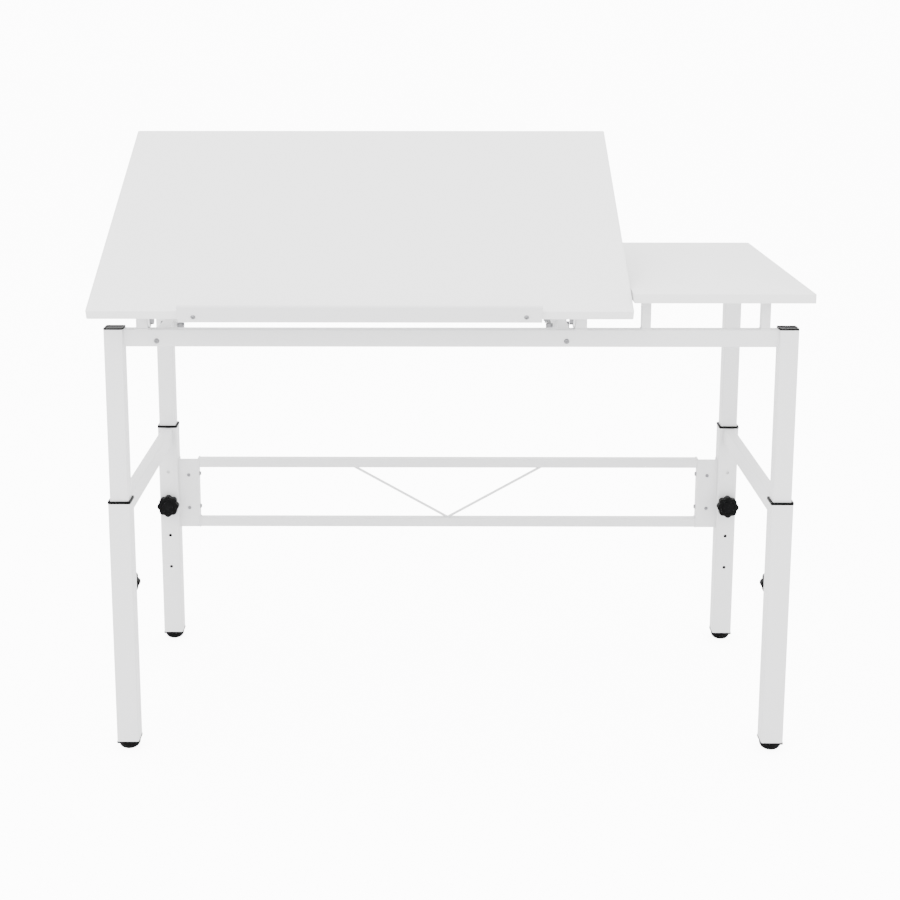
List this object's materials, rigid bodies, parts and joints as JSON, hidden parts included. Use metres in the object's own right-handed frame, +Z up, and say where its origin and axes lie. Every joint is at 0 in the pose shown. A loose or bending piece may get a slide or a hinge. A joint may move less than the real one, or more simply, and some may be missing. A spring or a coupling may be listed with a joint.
{
  "type": "drafting table",
  "caption": "Drafting table with a tilting laminated board, a fixed side table and height-adjustable square tube legs locked by star knobs.",
  "frame": {"origin": "on the floor, in the middle of the bounding box in the stored pose, with the board tilted 25 degrees", "axes": "+X to the user's right, towards the side table; +Y from the user to the back; +Z up"},
  "size_m": [1.2, 0.6272, 1.0495],
  "materials": {
    "white_steel": "white powder coat, satin",
    "white_laminate": "white melamine face on particle board, matt",
    "black_plastic": "moulded, fine grain",
    "zinc_steel": "zinc plated",
    "black_nylon": "moulded nylon"
  },
  "bodies": {
    "lower_frame": {"leg_front_left": "white_steel", "leg_front_right": "white_steel", "leg_rear_left": "white_steel", "leg_rear_right": "white_steel", "leg_collars": "black_plastic", "feet": "black_plastic", "knob_inserts": "zinc_steel", "side_stretcher_left": "white_steel", "side_stretcher_right": "white_steel", "rear_bar_upper": "white_steel", "rear_bar_lower": "white_steel", "end_channel_left": "white_steel", "end_channel_right": "white_steel", "brace_rod_left": "white_steel", "brace_rod_right": "white_steel", "channel_screws": "zinc_steel"},
    "upper_frame": {"inner_tube_front_left": "white_steel", "inner_tube_front_right": "white_steel", "inner_tube_rear_left": "white_steel", "inner_tube_rear_right": "white_steel", "tube_caps": "black_plastic", "tube_guides": "black_plastic", "front_rail": "white_steel", "rear_rail": "white_steel", "hinge_post_left": "white_steel", "hinge_post_right": "white_steel", "pivot_bolts": "zinc_steel", "side_post_front_inner": "white_steel", "side_post_front_outer": "white_steel", "side_post_rear_inner": "white_steel", "side_post_rear_outer": "white_steel", "side_table": "white_laminate", "side_table_screws": "zinc_steel", "bearer_left": "white_steel", "bearer_right": "white_steel", "stop_left": "white_steel", "stop_right": "white_steel", "frame_bolts": "zinc_steel"},
    "drawing_board": {"board": "white_laminate", "pencil_ledge": "white_steel", "board_screws": "zinc_steel", "board_arm_left": "white_steel", "board_arm_right": "white_steel", "lock_bolts": "zinc_steel"},
    "prop": {"prop_leg_left": "white_steel", "prop_leg_right": "white_steel", "prop_rod": "zinc_steel"},
    "roller_left": {"prop_roller_left": "black_nylon"},
    "lock_left": {"lock_knob_left": "black_plastic"},
    "roller_right": {"prop_roller_right": "black_nylon"},
    "lock_right": {"lock_knob_right": "black_plastic"},
    "knob_front_left": {"knob_front_left": "black_plastic", "stud_front_left": "zinc_steel"},
    "knob_front_right": {"knob_front_right": "black_plastic", "stud_front_right": "zinc_steel"},
    "knob_rear_left": {"knob_rear_left": "black_plastic", "stud_rear_left": "zinc_steel"},
    "knob_rear_right": {"knob_rear_right": "black_plastic", "stud_rear_right": "zinc_steel"}
  },
  "joints": [
    {"name": "height", "type": "slide", "parent": "lower_frame", "child": "upper_frame", "axis": [0, 0, 1], "range_m": [-0.134, 0.067]},
    {"name": "board_tilt", "type": "hinge", "parent": "upper_frame", "child": "drawing_board", "pos_m": [-0.15, -0.23645, 0.769], "axis": [1, 0, 0], "range_deg": [-25, 35]},
    {"name": "prop_swing", "type": "hinge", "parent": "drawing_board", "child": "prop", "pos_m": [-0.15, -0.028, 0.8662], "axis": [1, 0, 0], "range_deg": [-70, 50]},
    {"name": "roller_left_spin", "type": "hinge", "parent": "prop", "child": "roller_left", "pos_m": [-0.494, 0.18045, 0.769], "axis": [1, 0, 0], "continuous": true},
    {"name": "lock_knob_left_turn", "type": "hinge", "parent": "drawing_board", "child": "lock_left", "pos_m": [-0.49, -0.028, 0.8662], "axis": [1, 0, 0], "range_deg": [0, 360]},
    {"name": "roller_right_spin", "type": "hinge", "parent": "prop", "child": "roller_right", "pos_m": [0.194, 0.18045, 0.769], "axis": [1, 0, 0], "continuous": true},
    {"name": "lock_knob_right_turn", "type": "hinge", "parent": "drawing_board", "child": "lock_right", "pos_m": [0.19, -0.028, 0.8662], "axis": [-1, 0, 0], "range_deg": [0, 360]},
    {"name": "knob_front_left_turn", "type": "hinge", "parent": "lower_frame", "child": "knob_front_left", "pos_m": [-0.566, -0.20745, 0.293], "axis": [0, 1, 0], "range_deg": [0, 360]},
    {"name": "knob_front_right_turn", "type": "hinge", "parent": "lower_frame", "child": "knob_front_right", "pos_m": [0.566, -0.20745, 0.293], "axis": [0, 1, 0], "range_deg": [0, 360]},
    {"name": "knob_rear_left_turn", "type": "hinge", "parent": "lower_frame", "child": "knob_rear_left", "pos_m": [-0.566, 0.24955, 0.293], "axis": [0, -1, 0], "range_deg": [0, 360]},
    {"name": "knob_rear_right_turn", "type": "hinge", "parent": "lower_frame", "child": "knob_rear_right", "pos_m": [0.566, 0.24955, 0.293], "axis": [0, -1, 0], "range_deg": [0, 360]}
  ],
  "couplings": [
    {"joint": "prop_swing", "follows": "board_tilt", "ratio": -2}
  ]
}
